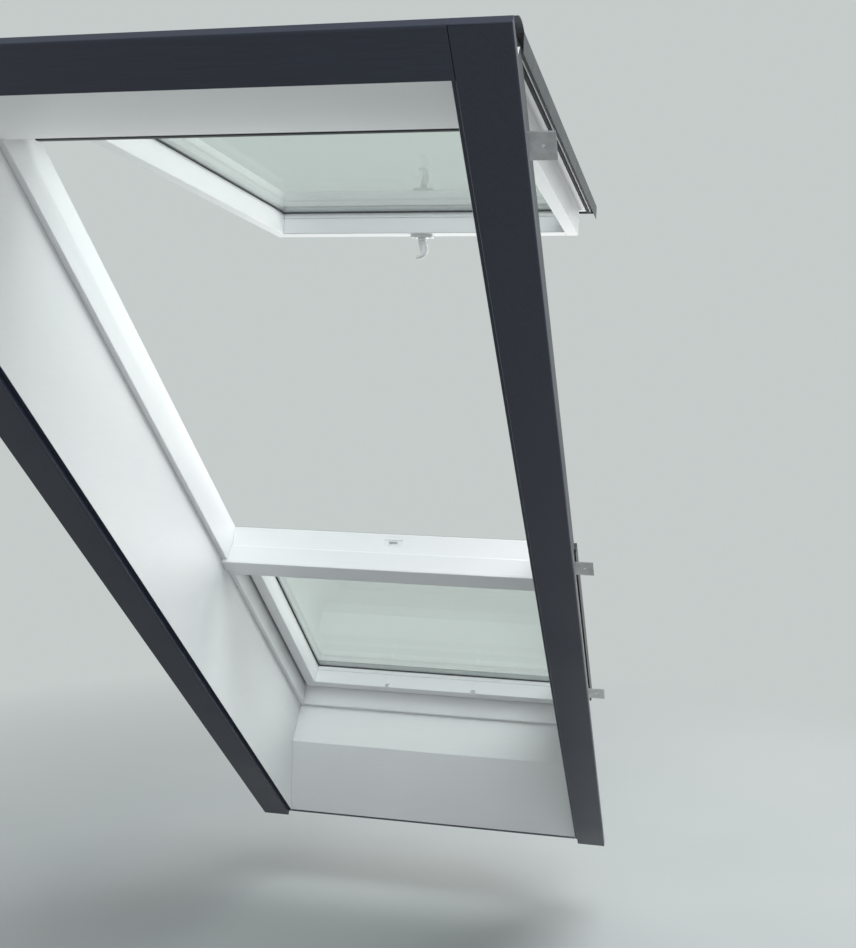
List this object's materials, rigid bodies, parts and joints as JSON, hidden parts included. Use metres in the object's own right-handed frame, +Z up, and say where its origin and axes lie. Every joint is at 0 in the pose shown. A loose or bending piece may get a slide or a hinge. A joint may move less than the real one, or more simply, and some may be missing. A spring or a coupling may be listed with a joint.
{
  "type": "roof window",
  "caption": "Top-hung roof window opened outwards above a fixed lower window, with white lining boards, dark casing, hook lever with coupled bolt and turning control bar.",
  "frame": {"origin": "centre of the frame's lower outer face, which is square to the roof slope and lies on the trimmer below the window", "axes": "+Z up; +X to the right seen from the room; +Y outdoors, down the slope; the roof slope rises towards -Y at 38.5 degrees"},
  "size_m": [1.081, 2.3912, 1.9209],
  "materials": {
    "lining_paint": "satin white paint on board",
    "casing_paint": "satin blue-grey paint on timber",
    "frame_lacquer": "white lacquer on laminated timber",
    "sash_lacquer": "white lacquer on laminated timber",
    "pane": "clear coated double glazing",
    "spacer": "matt mill",
    "gasket": "matt",
    "sheet_cover": "dark grey lacquered sheet",
    "zinc_plate": "bright zinc plated",
    "bar_metal": "dark anodised",
    "handle_paint": "white powder coat",
    "white_plastic": "semi gloss"
  },
  "bodies": {
    "frame": {"apron_board": "lining_paint", "blind_hooks": "white_plastic", "bracket_screws": "zinc_plate", "casing_head": "casing_paint", "casing_left": "casing_paint", "casing_right": "casing_paint", "fixing_brackets": "zinc_plate", "frame_cover_head": "sheet_cover", "frame_cover_left": "sheet_cover", "frame_cover_right": "sheet_cover", "hinge_plates": "zinc_plate", "lining_head": "lining_paint", "lining_left": "lining_paint", "lining_right": "lining_paint", "lower_cover_bottom": "sheet_cover", "lower_cover_left": "sheet_cover", "lower_cover_right": "sheet_cover", "lower_cover_top": "sheet_cover", "lower_frame_bottom": "frame_lacquer", "lower_frame_head": "frame_lacquer", "lower_frame_left": "frame_lacquer", "lower_frame_right": "frame_lacquer", "lower_glazing_gasket": "gasket", "lower_inner_pane": "pane", "lower_outer_pane": "pane", "lower_pane_spacer": "spacer", "lower_sash_bottom": "sash_lacquer", "lower_sash_left": "sash_lacquer", "lower_sash_right": "sash_lacquer", "lower_sash_top": "sash_lacquer", "lower_weather_seal": "gasket", "sill_board": "lining_paint", "strike_plate": "zinc_plate", "transom_cover_board": "frame_lacquer", "transom_gutter": "sheet_cover", "upper_frame_bottom": "frame_lacquer", "upper_frame_head": "frame_lacquer", "upper_frame_left": "frame_lacquer", "upper_frame_right": "frame_lacquer"},
    "sash": {"handle_plate": "handle_paint", "hinge_arms": "zinc_plate", "lock_case": "zinc_plate", "sash_cover_bottom": "sheet_cover", "sash_cover_left": "sheet_cover", "sash_cover_right": "sheet_cover", "sash_hood": "sheet_cover", "sash_weather_seal": "gasket", "upper_glazing_gasket": "gasket", "upper_inner_pane": "pane", "upper_outer_pane": "pane", "upper_pane_spacer": "spacer", "upper_sash_bottom": "sash_lacquer", "upper_sash_left": "sash_lacquer", "upper_sash_right": "sash_lacquer", "upper_sash_top": "sash_lacquer", "vent_bar_ears": "white_plastic"},
    "vent_bar": {"vent_bar": "bar_metal", "vent_flap": "bar_metal"},
    "handle": {"handle_lever": "handle_paint"},
    "lock_bolt": {"lock_bolt": "zinc_plate"}
  },
  "joints": [
    {"name": "sash_swing", "type": "hinge", "parent": "frame", "child": "sash", "pos_m": [0, -1.82782, 1.46669], "axis": [1, 0, 0], "range_deg": [-36.9, 8.1]},
    {"name": "vent_bar_turn", "type": "hinge", "parent": "sash", "child": "vent_bar", "pos_m": [0, -1.75043, 1.45652], "axis": [-1, 0, 0], "range_deg": [0, 35]},
    {"name": "handle_turn", "type": "hinge", "parent": "sash", "child": "handle", "pos_m": [0, -0.41265, 1.43516], "axis": [0, 0.0279, 0.9996], "range_deg": [0, 90]},
    {"name": "bolt_slide", "type": "slide", "parent": "sash", "child": "lock_bolt", "axis": [0, 0.9996, -0.0279], "range_m": [0, 0.012]}
  ],
  "couplings": [
    {"joint": "bolt_slide", "follows": "handle_turn", "m_per_rad": 0.0076394}
  ]
}
